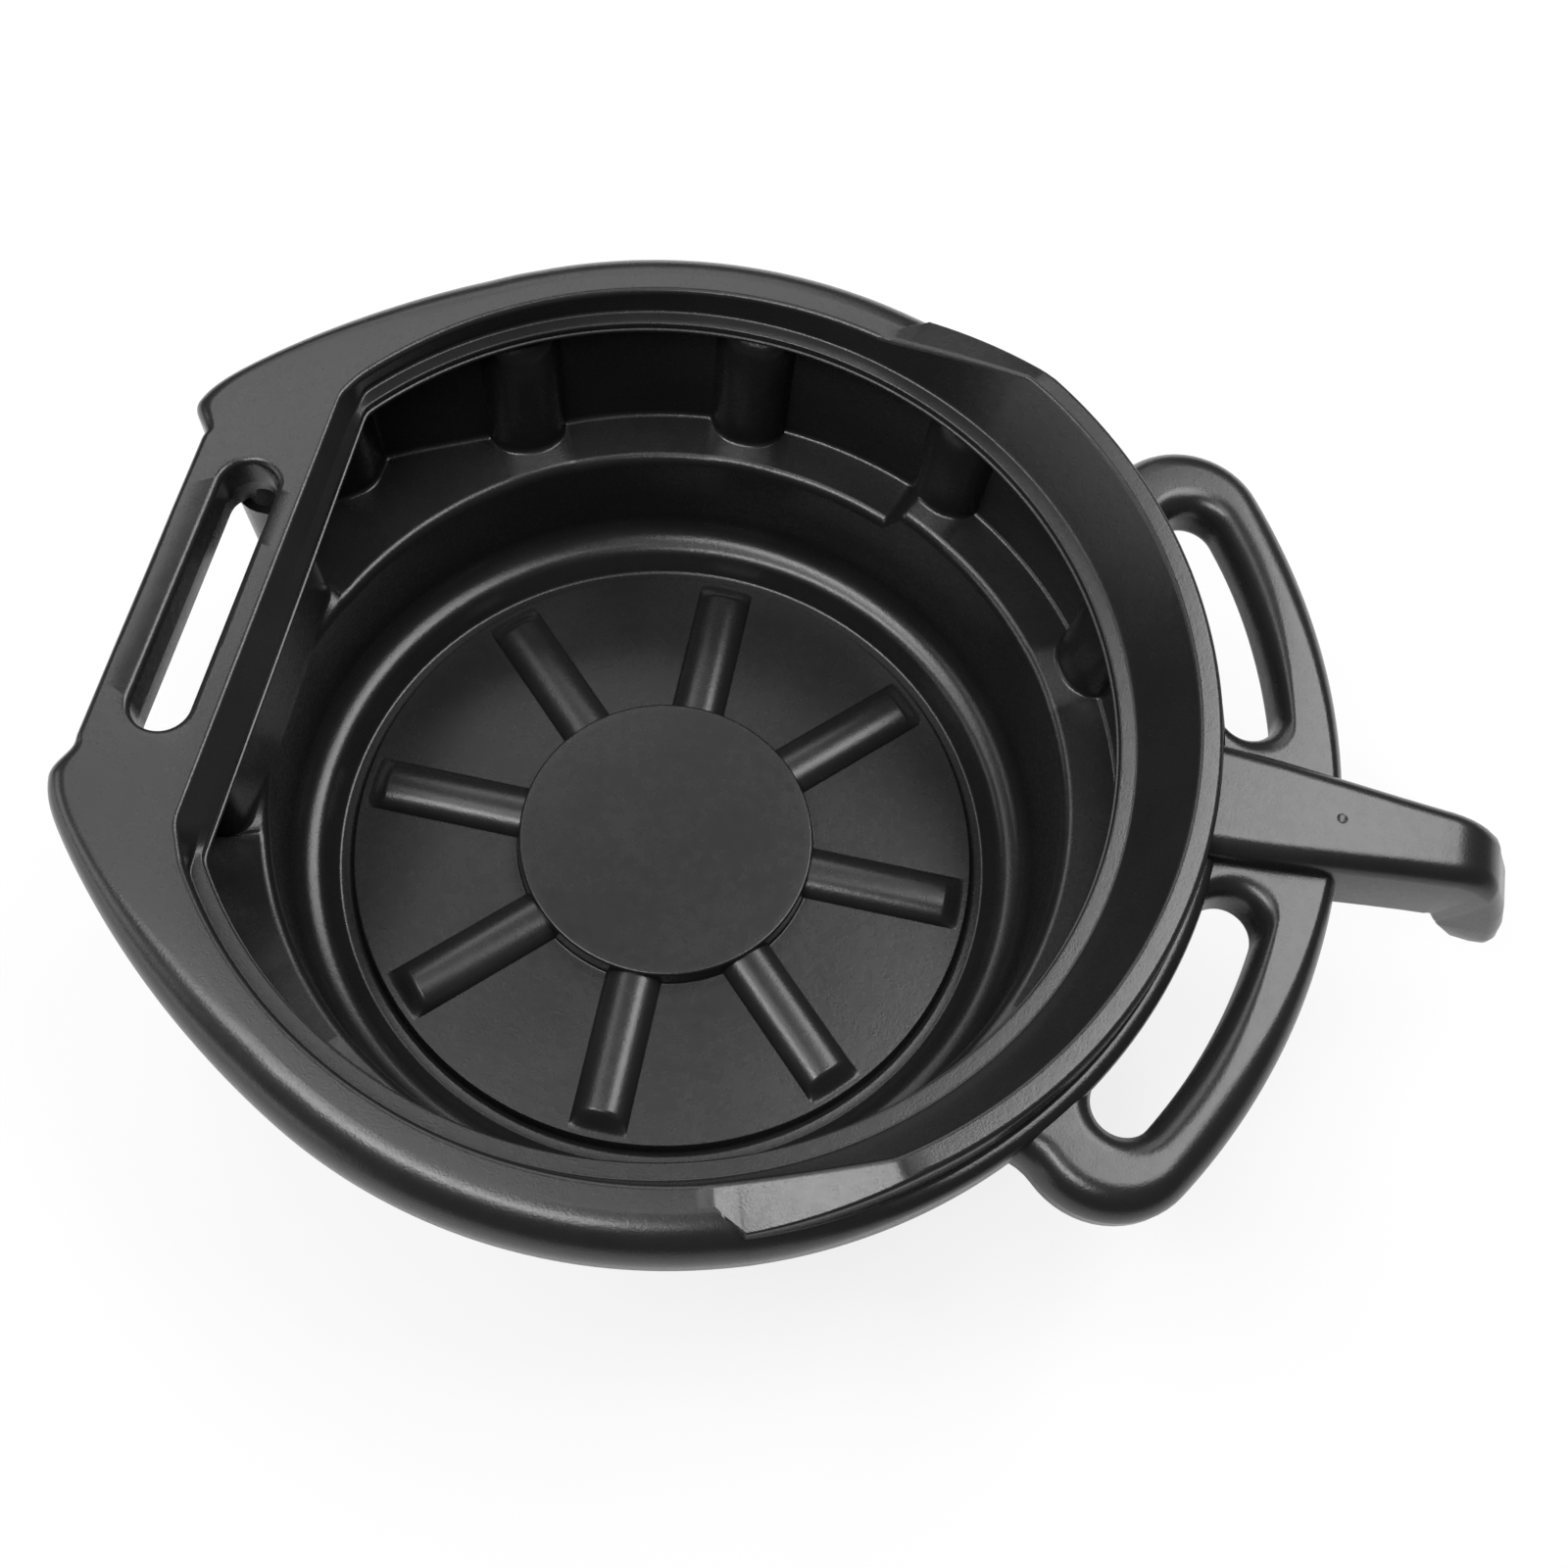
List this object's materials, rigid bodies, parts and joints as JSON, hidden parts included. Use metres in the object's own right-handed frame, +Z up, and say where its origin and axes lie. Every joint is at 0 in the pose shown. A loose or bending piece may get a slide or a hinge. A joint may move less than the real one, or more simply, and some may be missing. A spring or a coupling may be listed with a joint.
{
  "type": "oil drain pan",
  "caption": "Black blow-moulded oil drain pan: round ribbed bowl with a splash lip and a raised rim, a slotted hand grip, and a hooked arm with a D-shaped handle.",
  "frame": {"origin": "centre of the pan's plan box, on the plane that the standing ring rests on", "axes": "+X from the grip slot towards the arm, the longest way; +Z up, the shortest way; the pan is mirror-symmetric about the XZ plane"},
  "size_m": [0.4784, 0.37, 0.155],
  "materials": {
    "black_plastic": "semi-matte black polyethylene with a fine moulded grain"
  },
  "bodies": {
    "root": {"base_pan": "black_plastic", "floor_disc": "black_plastic", "floor_rib_1": "black_plastic", "floor_rib_2": "black_plastic", "floor_rib_3": "black_plastic", "floor_rib_4": "black_plastic", "floor_rib_5": "black_plastic", "floor_rib_6": "black_plastic", "floor_rib_7": "black_plastic", "floor_rib_8": "black_plastic", "lower_wall": "black_plastic", "wall_ledge": "black_plastic", "upper_wall": "black_plastic", "wall_pillar_1": "black_plastic", "wall_pillar_2": "black_plastic", "wall_pillar_3": "black_plastic", "wall_pillar_4": "black_plastic", "wall_pillar_5": "black_plastic", "wall_pillar_6": "black_plastic", "wall_pillar_7": "black_plastic", "wall_pillar_8": "black_plastic", "wall_pillar_9": "black_plastic", "wall_pillar_10": "black_plastic", "splash_lip": "black_plastic", "rim_flange": "black_plastic", "grip_flange": "black_plastic", "raised_rim": "black_plastic", "hand_loop_far": "black_plastic", "hand_loop_near": "black_plastic", "arm_gusset_far": "black_plastic", "arm_gusset_near": "black_plastic", "pull_arm": "black_plastic", "arm_hook": "black_plastic"}
  },
  "joints": []
}
